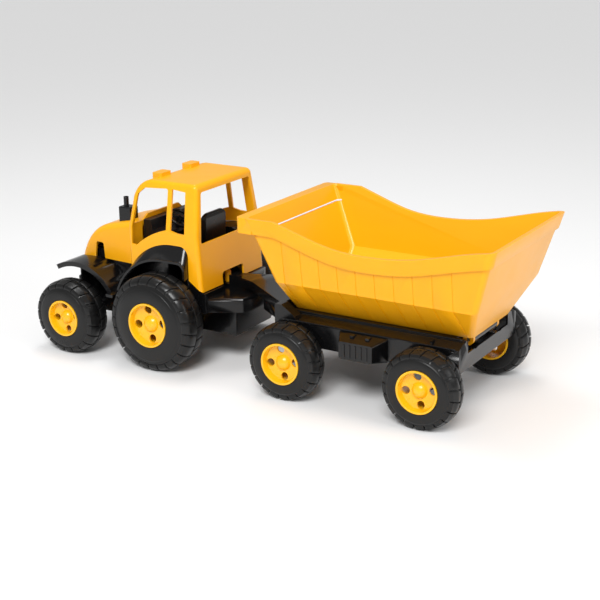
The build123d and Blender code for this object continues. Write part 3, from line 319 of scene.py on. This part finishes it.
def moulded_plastic(name, colour, deep, edge, roughness, grain=0.12, drift=0.6, dust=0.05,
                    coat=0.0, fine=1400.0, gloss=0.5):
    """Injection-moulded plastic with colour drift, rounded edges with a painted highlight and less
    roughness, grain and a little dust.
    """
    material = bpy.data.materials.new(name)
    material.use_nodes = True
    tree = material.node_tree
    shader = tree.nodes["Principled BSDF"]
    flow = place_group(tree, "flow", Colour=colour, Deep_Colour=deep, Drift=drift)
    edges = place_group(tree, "edge", Radius=0.0013)
    settled = place_group(tree, "dust", Amount=dust)
    texture = place_group(tree, "grain", Fine=fine)
    # Rounded edges are mixed towards the lighter edge colour: a painted highlight.
    painted_edge_highlight = mix_colour(tree, math_node(tree, "MULTIPLY", edges.outputs["Mask"], 0.55),
                      flow.outputs["Colour"], edge)
    dusty = mix_colour(tree, settled.outputs["Mask"], painted_edge_highlight, (0.55, 0.52, 0.47, 1.0))
    tree.links.new(dusty, shader.inputs["Base Color"])
    smear = math_node(tree, "MULTIPLY", noise(tree, 34.0, 4.0, 0.6), 0.16)
    rough = math_node(tree, "ADD", math_node(tree, "ADD", smear, roughness - 0.08),
                      math_node(tree, "MULTIPLY", settled.outputs["Mask"], 0.8))
    tree.links.new(math_node(tree, "SUBTRACT", rough,
                             math_node(tree, "MULTIPLY", edges.outputs["Mask"], 0.08), clamp=True),
                   shader.inputs["Roughness"])
    bump = tree.nodes.new("ShaderNodeBump")
    bump.inputs["Strength"].default_value = grain
    bump.inputs["Distance"].default_value = 0.0004
    tree.links.new(texture.outputs["Height"], bump.inputs["Height"])
    tree.links.new(bump.outputs["Normal"], shader.inputs["Normal"])
    shader.inputs["Specular IOR Level"].default_value = gloss
    shader.inputs["Coat Weight"].default_value = coat
    shader.inputs["Coat Roughness"].default_value = 0.12
    return material


def rod_steel(name):
    """Drawn steel rod with fine lengthwise lines."""
    material = bpy.data.materials.new(name)
    material.use_nodes = True
    tree = material.node_tree
    shader = tree.nodes["Principled BSDF"]
    shader.inputs["Metallic"].default_value = 1.0
    coords = tree.nodes.new("ShaderNodeTexCoord")
    mapping = tree.nodes.new("ShaderNodeMapping")
    mapping.inputs["Scale"].default_value = (900.0, 20.0, 900.0)
    tree.links.new(coords.outputs["Object"], mapping.inputs["Vector"])
    lines = noise(tree, 1.0, 3.0, 0.6, mapping.outputs["Vector"])
    tree.links.new(mix_colour(tree, lines, (0.42, 0.42, 0.43, 1), (0.68, 0.68, 0.70, 1)),
                   shader.inputs["Base Color"])
    tree.links.new(math_node(tree, "ADD", math_node(tree, "MULTIPLY", lines, 0.2), 0.2),
                   shader.inputs["Roughness"])
    return material


MATERIALS = {}
# Edge colours of the black finishes, lighter than their base colours: painted highlights on rounded
# edges.
EDGE_HIGHLIGHT_BLACK = (0.02, 0.02, 0.021, 1)
EDGE_HIGHLIGHT_MATT = (0.03, 0.03, 0.031, 1)


def scaled(colour, share):
    """The colour lighter or darker by a share, kept within 1."""
    return tuple(min(1, share * v) for v in colour[:3]) + (1,)


def build_materials(sizes):
    """Make every finish of the toy from the panel's colours."""
    GROUPS.update(flow=make_flow_group(), edge=make_edge_group(), grain=make_grain_group(),
                  dust=make_dust_group())
    body = tuple(sizes.body_colour) + (1.0,)
    hub = tuple(sizes.hub_colour) + (1.0,)
    black = tuple(sizes.black_colour) + (1.0,)
    tyre = tuple(sizes.tyre_colour) + (1.0,)
    # The fourth colour of each finish is its edge colour, lighter than the base: a painted
    # highlight on rounded edges.
    MATERIALS.update(
        body=moulded_plastic("Body yellow", body, scaled(body, 0.88), scaled(body, 1.12), 0.32,
                             dust=0.0, coat=0.1, gloss=0.3),
        hub=moulded_plastic("Hub yellow", hub, scaled(hub, 0.9), scaled(hub, 1.1), 0.28,
                            dust=0.0, coat=0.2),
        black=moulded_plastic("Chassis black", black, scaled(black, 1.5), EDGE_HIGHLIGHT_BLACK, 0.2,
                              grain=0.05, dust=0.0, coat=0.2, gloss=0.3),
        matt=moulded_plastic("Interior black", scaled(black, 1.3), scaled(black, 2.0),
                             EDGE_HIGHLIGHT_MATT, 0.3, grain=0.2, dust=0.0, fine=900.0, gloss=0.35),
        tyre=moulded_plastic("Tyre charcoal", tyre, scaled(tyre, 0.75), EDGE_HIGHLIGHT_MATT, 0.3,
                             grain=0.15, dust=0.01, fine=800.0, gloss=0.35),
        steel=rod_steel("Rod steel"),
    )


# ------------------------------------------------------------------ tyres
def tyre_profile(radius, width, hub, depth):
    """Half section of the carcass as (distance from the axle, distance along the axle)."""
    half = width / 2
    flat_r = hub + 0.57 * (radius - hub)
    shoulder_r = 0.915 * radius
    return [
        (hub + 0.05, half - 7.0), (hub + 0.05, half - 0.9), (hub + 0.9, half - 0.1),
        (hub + 1.6, half),
        (flat_r - 1.0, half), (flat_r - 0.4, half - 0.35), (flat_r, half - 0.8),
        (flat_r + 0.9, half - 1.0), (shoulder_r - depth, half - 3.4),
        (radius - depth - 1.8, half - 8.2),
        (radius - depth, half - 12.0), (radius - depth, 0.9), (radius - depth - 0.7, 0.0),
    ]


def carcass_mesh(radius, width, hub, depth, steps=144):
    """Closed tyre body without lugs, round Z and centred on its width."""
    side = tyre_profile(radius, width, hub, depth)
    ring = side + [(r, -z) for r, z in reversed(side[:-1])]
    bm = bmesh.new()
    rows = []
    for index in range(steps):
        angle = 2 * math.pi * index / steps
        rows.append([bm.verts.new((r * MM * math.cos(angle), r * MM * math.sin(angle), z * MM))
                     for r, z in ring])
    for index, row in enumerate(rows):
        after = rows[(index + 1) % steps]
        for k in range(len(row)):
            n = (k + 1) % len(row)
            bm.faces.new((row[k], after[k], after[n], row[n]))
    bmesh.ops.recalc_face_normals(bm, faces=bm.faces)
    return bm


def lug_mesh(radius, width, depth, count, gap, side):
    """One tread lug that wraps over the shoulder, standing at angle 0."""
    half = width / 2
    shoulder_r = 0.915 * radius
    path = [(radius - 0.4, 0.7), (radius, 1.6), (radius, half - 12.0), (radius - 0.5, half - 9.5),
            (radius - 1.5, half - 7.6), (shoulder_r + 1.2, half - 2.8),
            (shoulder_r - 0.8, half - 2.0),
            (shoulder_r - 3.6, half - 1.1), (shoulder_r - 4.4, half - 1.3)]
    sweep = math.radians(5.0)
    arc = 2 * math.pi / count - gap / radius
    across = 5
    bm = bmesh.new()
    top, base = [], []
    for r, z in path:
        skew = sweep * (z / half)
        top.append([])
        base.append([])
        for step in range(across):
            angle = arc * (step / (across - 1) - 0.5) + skew
            outer = Vector((r * math.cos(angle), r * math.sin(angle), side * z)) * MM
            inner_r = r - depth - 1.0
            inner = Vector((inner_r * math.cos(angle), inner_r * math.sin(angle),
                            side * min(z, half - 4.5))) * MM
            top[-1].append(bm.verts.new(outer))
            base[-1].append(bm.verts.new(inner))
    rows = len(path)
    for i in range(rows - 1):
        for k in range(across - 1):
            bm.faces.new((top[i][k], top[i][k + 1], top[i + 1][k + 1], top[i + 1][k]))
            bm.faces.new((base[i][k], base[i + 1][k], base[i + 1][k + 1], base[i][k + 1]))
        for k in (0, across - 1):
            bm.faces.new((top[i][k], top[i + 1][k], base[i + 1][k], base[i][k]))
    for i in (0, rows - 1):
        for k in range(across - 1):
            bm.faces.new((top[i][k], top[i][k + 1], base[i][k + 1], base[i][k]))
    bmesh.ops.recalc_face_normals(bm, faces=bm.faces)
    crease = [edge for edge in bm.edges
              if len(edge.link_faces) == 2 and edge.calc_face_angle(0) > math.radians(50)
              and any(v in row for v in edge.verts for row in top)]
    bmesh.ops.bevel(bm, geom=crease, offset=0.55 * MM, segments=2, profile=0.6, affect="EDGES",
                    clamp_overlap=True)
    return bm


def turn_pattern_tree():
    """Geometry Nodes tree that repeats a lug round Z and joins it to the carcass."""
    tree = bpy.data.node_groups.new("Lugs Round Tyre", "GeometryNodeTree")
    sockets = tree.interface.new_socket
    sockets("Geometry", in_out="INPUT", socket_type="NodeSocketGeometry")
    sockets("Lug", in_out="INPUT", socket_type="NodeSocketObject")
    sockets("Staggered Lug", in_out="INPUT", socket_type="NodeSocketObject")
    sockets("Count", in_out="INPUT", socket_type="NodeSocketInt").default_value = 20
    sockets("Material", in_out="INPUT", socket_type="NodeSocketMaterial")
    sockets("Geometry", in_out="OUTPUT", socket_type="NodeSocketGeometry")
    nodes, links = tree.nodes, tree.links
    start, end = nodes.new("NodeGroupInput"), nodes.new("NodeGroupOutput")
    points = nodes.new("GeometryNodePoints")
    links.new(start.outputs["Count"], points.inputs["Count"])
    index = nodes.new("GeometryNodeInputIndex")
    step = nodes.new("ShaderNodeMath")
    step.operation = "DIVIDE"
    step.inputs[0].default_value = 2 * math.pi
    links.new(start.outputs["Count"], step.inputs[1])
    join = nodes.new("GeometryNodeJoinGeometry")
    for label, phase in (("Lug", 0.0), ("Staggered Lug", 0.5)):
        shifted = nodes.new("ShaderNodeMath")
        shifted.operation = "ADD"
        shifted.inputs[1].default_value = phase
        links.new(index.outputs[0], shifted.inputs[0])
        angle = nodes.new("ShaderNodeMath")
        angle.operation = "MULTIPLY"
        links.new(shifted.outputs[0], angle.inputs[0])
        links.new(step.outputs[0], angle.inputs[1])
        turn = nodes.new("ShaderNodeCombineXYZ")
        links.new(angle.outputs[0], turn.inputs["Z"])
        info = nodes.new("GeometryNodeObjectInfo")
        links.new(start.outputs[label], info.inputs["Object"])
        place = nodes.new("GeometryNodeInstanceOnPoints")
        links.new(points.outputs[0], place.inputs["Points"])
        links.new(info.outputs["Geometry"], place.inputs["Instance"])
        links.new(turn.outputs[0], place.inputs["Rotation"])
        links.new(place.outputs[0], join.inputs[0])
    links.new(start.outputs["Geometry"], join.inputs[0])
    real = nodes.new("GeometryNodeRealizeInstances")
    links.new(join.outputs[0], real.inputs[0])
    paint = nodes.new("GeometryNodeSetMaterial")
    links.new(real.outputs[0], paint.inputs["Geometry"])
    links.new(start.outputs["Material"], paint.inputs["Material"])
    links.new(paint.outputs[0], end.inputs[0])
    return tree


def socket_id(tree, label):
    """Identifier of a tree's input, for a modifier."""
    return next(item.identifier for item in tree.interface.items_tree
                if item.name == label and getattr(item, "in_out", "") == "INPUT")


def baked_tyre(name, tree, sizes, radius, width, hub, count):
    """The finished mesh of one tyre round Z."""
    depth, gap = sizes.lug_depth / MM, sizes.lug_gap / MM
    base = new_object(name + "_carcass", carcass_mesh(radius, width, hub, depth))
    lugs = [new_object(f"{name}_lug_{side}", lug_mesh(radius, width, depth, count, gap, side))
            for side in (1, -1)]
    modifier = base.modifiers.new("Lugs", "NODES")
    modifier.node_group = tree
    modifier[socket_id(tree, "Lug")] = lugs[0]
    modifier[socket_id(tree, "Staggered Lug")] = lugs[1]
    modifier[socket_id(tree, "Count")] = count
    modifier[socket_id(tree, "Material")] = MATERIALS["tyre"]
    depsgraph = bpy.context.evaluated_depsgraph_get()
    mesh = bpy.data.meshes.new_from_object(base.evaluated_get(depsgraph))
    for obj in [base] + lugs:
        bpy.data.objects.remove(obj)
    return mesh


def wheel_place(name, side):
    """Matrix that takes a part made round Z, outer face up, to its wheel."""
    low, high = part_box(f"{name}_axle")
    centre = Vector(((low[0] + high[0]) / 2, 0, (low[2] + high[2]) / 2))
    tyre_low, tyre_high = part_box(f"{name}_tyre_{'left' if side > 0 else 'right'}")
    centre.y = (tyre_low[1] + tyre_high[1]) / 2
    return Matrix.Translation(centre) @ Matrix.Rotation(math.radians(-90 * side), 4, "X")


# ------------------------------------------------------------------ settings
class ToyTractorSettings(bpy.types.PropertyGroup):
    """Sizes and colours of the toy's finish."""

    body_colour: bpy.props.FloatVectorProperty(
        name="Body colour", description="Yellow of the cab, bonnet and bed", subtype="COLOR",
        size=3, min=0, max=1, default=linear(250, 174, 14)[:3])
    hub_colour: bpy.props.FloatVectorProperty(
        name="Hub colour", description="Yellow of the wheel hubs", subtype="COLOR", size=3, min=0,
        max=1, default=linear(246, 184, 14)[:3])
    black_colour: bpy.props.FloatVectorProperty(
        name="Chassis colour", description="Black of both chassis", subtype="COLOR", size=3, min=0,
        max=1, default=linear(11, 11, 12)[:3])
    tyre_colour: bpy.props.FloatVectorProperty(
        name="Tyre colour", description="Charcoal of the tyres", subtype="COLOR", size=3, min=0,
        max=1, default=linear(18, 18, 18)[:3])
    lug_depth: bpy.props.FloatProperty(
        name="Lug depth", description="Height of the tread lugs", subtype="DISTANCE",
        default=1.7 * MM, min=0.0005, max=0.005)
    lug_gap: bpy.props.FloatProperty(
        name="Lug gap", description="Space between neighbouring lugs", subtype="DISTANCE",
        default=1.9 * MM, min=0.0005, max=0.01)
    edge_round: bpy.props.FloatProperty(
        name="Edge rounding", description="Radius on the edges of the mouldings",
        subtype="DISTANCE", default=0.7 * MM, min=0, max=0.002)


# ------------------------------------------------------------------ operators
class TRACTOR_OT_finishes(bpy.types.Operator):
    """Make the shared shader groups and give every CAD node its finish"""

    bl_idname = "toy_tractor.finishes"
    bl_label = "Finishes"

    def execute(self, context):
        build_materials(context.scene.toy_tractor)
        by_slot = {"body_yellow": "body", "hub_yellow": "hub", "chassis_black": "black",
                   "matt_black": "matt", "tyre": "tyre", "steel": "steel"}
        for part in frame["record"]["subparts"]:
            obj = NODES[part["node"]]
            set_material(obj, MATERIALS[by_slot[part["material_slot"]]])
        return {"FINISHED"}


MOULDINGS = (
    # node, body, finish, share of the edge rounding
    ("cab_shell", "tractor", "body", 1.0), ("tractor_chassis", "tractor", "black", 0.8),
    ("trailer_chassis", "trailer", "black", 0.8), ("dump_bed", "dump_bed", "body", 1.0),
    ("engine_block", "tractor", "matt", 0.7), ("grille", "tractor", "black", 0.6),
    ("headlamp_left", "tractor", "hub", 0.6), ("headlamp_right", "tractor", "hub", 0.6),
    ("bumper", "tractor", "black", 1.0), ("exhaust_stack", "tractor", "black", 0.9),
    ("seat", "tractor", "matt", 1.0), ("dashboard", "tractor", "matt", 0.9),
    ("gear_lever", "tractor", "matt", 0.5), ("toolbox_left", "trailer", "black", 0.6),
    ("toolbox_right", "trailer", "black", 0.6),
)
RAIL_BEADS = ((67.2, 105.4, 1.6), (86.9, 99.0, 1.5))   # from the middle plane, height, radius
RAIL_MIDDLE, RAIL_HALF = -169.0, 122.0                # along the trailer

GENEROUS_ROUNDS = {
    "dump_bed": ((bed_corner, 6.0), (bed_rim, 1.5)),
    "tractor_chassis": ((long_edge, 1.8),),
    "trailer_chassis": ((long_edge, 1.8),),
    "toolbox_left": ((long_edge, 1.2),),
    "toolbox_right": ((long_edge, 1.2),),
}


class TRACTOR_OT_mouldings(bpy.types.Operator):
    """Give the large mouldings rounded edges"""

    bl_idname = "toy_tractor.mouldings"
    bl_label = "Mouldings"

    def execute(self, context):
        width = context.scene.toy_tractor.edge_round / MM
        for node, body, key, factor in MOULDINGS:
            piece = moulded_copy(node, node + "_moulding", factor * width,
                                 rounds=GENEROUS_ROUNDS.get(node, ()))
            set_material(piece, MATERIALS[key])
            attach(piece, body)
            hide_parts(node)
        return {"FINISHED"}


class TRACTOR_OT_rails(bpy.types.Operator):
    """Add the raised beads along the trailer's deck and skirts"""

    bl_idname = "toy_tractor.rails"
    bl_label = "Rail beads"

    def execute(self, context):
        bm = bmesh.new()
        for side in (1, -1):
            for y, z, radius in RAIL_BEADS:
                bead = bmesh.ops.create_uvsphere(bm, u_segments=20, v_segments=12,
                                                 radius=radius * MM)
                for vert in bead["verts"]:
                    vert.co.x += RAIL_HALF * MM if vert.co.x > 0 else -RAIL_HALF * MM
                    vert.co += Vector((RAIL_MIDDLE, side * y, z)) * MM
        piece = new_object("trailer_rail_beads", bm)
        shade_smooth(piece, 50)
        set_material(piece, MATERIALS["black"])
        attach(piece, "trailer")
        return {"FINISHED"}


class TRACTOR_OT_tyres(bpy.types.Operator):
    """Build the lugged tyres"""

    bl_idname = "toy_tractor.tyres"
    bl_label = "Tyres"

    def execute(self, context):
        tree = turn_pattern_tree()
        for name, (radius, width, hub, count) in WHEELS.items():
            mesh = baked_tyre(name, tree, context.scene.toy_tractor, radius, width, hub, count)
            for side, word in ((1, "left"), (-1, "right")):
                copy = mesh.copy()
                copy.transform(wheel_place(name, side))
                tyre = new_object(f"{name}_tyre_{word}_lugged", copy)
                set_material(tyre, MATERIALS["tyre"])
                shade_smooth(tyre, 40)
                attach(tyre, f"{name}_wheels")
                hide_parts(f"{name}_tyre_{word}")
        return {"FINISHED"}


LIGHTS = (
    # name, place, target, size or None for the sun, power
    ("daylight", (-0.9, 1.9, 2.2), (0, 0, 0.1), None, 1.75),
    ("key", (-0.3, 1.5, 1.5), (0, 0, 0.1), 0.5, 12.0),
    ("top", (0.3, -0.2, 1.7), (0, 0, 0.1), 0.6, 7.0),
    ("rear fill", (-1.6, 0.1, 0.9), (0, 0, 0.15), 0.5, 6.0),
)
DAYLIGHT_SPREAD = math.radians(24)
CAMERA_PLACE = (-0.89545, 1.41368, 0.63436)
CAMERA_ANGLES = (-58.243, -17.970, 0.852)      # heading, slope and roll in degrees
CAMERA_LENS = 76.95


class TRACTOR_OT_stage(bpy.types.Operator):
    """Add the floor, the lights and the camera"""

    bl_idname = "toy_tractor.stage"
    bl_label = "Stage"

    def execute(self, context):
        scene = context.scene
        bm = bmesh.new()
        bmesh.ops.create_grid(bm, x_segments=2, y_segments=2, size=30.0)
        floor = new_object("floor", bm)
        material = bpy.data.materials.new("Studio floor")
        material.use_nodes = True
        shader = material.node_tree.nodes["Principled BSDF"]
        shader.inputs["Base Color"].default_value = (0.88, 0.88, 0.88, 1)
        shader.inputs["Roughness"].default_value = 0.7
        set_material(floor, material)
        world = bpy.data.worlds.new("Studio")
        world.use_nodes = True
        world.node_tree.nodes["Background"].inputs["Color"].default_value = (1.0, 1.0, 1.0, 1)
        world.node_tree.nodes["Background"].inputs["Strength"].default_value = 0.42
        scene.world = world
        scene.view_settings.view_transform = "Standard"
        for name, place, target, size, power in LIGHTS:
            light = bpy.data.lights.new(name, "AREA" if size else "SUN")
            light.energy = power
            if size:
                light.size = size
            else:
                light.angle = DAYLIGHT_SPREAD
            lamp = bpy.data.objects.new(name, light)
            lamp.location = place
            aim = Vector(target) - Vector(place)
            lamp.rotation_euler = aim.to_track_quat("-Z", "Y").to_euler()
            scene.collection.objects.link(lamp)
        camera_data = bpy.data.cameras.new("Camera")
        camera_data.sensor_width = 36.0
        camera_data.lens = CAMERA_LENS
        camera = bpy.data.objects.new("Camera", camera_data)
        heading, drop, roll_angle = (math.radians(angle) for angle in CAMERA_ANGLES)
        look = Vector((math.cos(drop) * math.cos(heading), math.cos(drop) * math.sin(heading),
                       math.sin(drop)))
        turn = look.to_track_quat("-Z", "Y").to_matrix().to_4x4()
        roll = Matrix.Rotation(roll_angle, 4, look)
        camera.matrix_world = Matrix.Translation(CAMERA_PLACE) @ roll @ turn
        scene.collection.objects.link(camera)
        scene.camera = camera
        return {"FINISHED"}


class TRACTOR_PT_panel(bpy.types.Panel):
    """Sizes, colours and pieces of the toy"""

    bl_idname = "TRACTOR_PT_panel"
    bl_label = "Toy Tractor"
    bl_space_type = "VIEW_3D"
    bl_region_type = "UI"
    bl_category = "Toy Tractor"

    def draw(self, context):
        settings = context.scene.toy_tractor
        for key in ToyTractorSettings.__annotations__:
            self.layout.prop(settings, key)
        for operator in OPERATORS:
            self.layout.operator(operator.bl_idname)


OPERATORS = (TRACTOR_OT_stage, TRACTOR_OT_finishes, TRACTOR_OT_mouldings, TRACTOR_OT_rails,
             TRACTOR_OT_tyres)
CLASSES = (ToyTractorSettings,) + OPERATORS + (TRACTOR_PT_panel,)


def register():
    """Add the settings, the operators and the panel."""
    for item in CLASSES:
        bpy.utils.register_class(item)
    bpy.types.Scene.toy_tractor = bpy.props.PointerProperty(type=ToyTractorSettings)


def unregister():
    """Take them away again."""
    del bpy.types.Scene.toy_tractor
    for item in reversed(CLASSES):
        bpy.utils.unregister_class(item)


def main():
    """Build every piece in order."""
    register()
    for operator in OPERATORS:
        group, _, name = operator.bl_idname.partition(".")
        getattr(getattr(bpy.ops, group), name)()


if __name__ == "__main__":
    main()
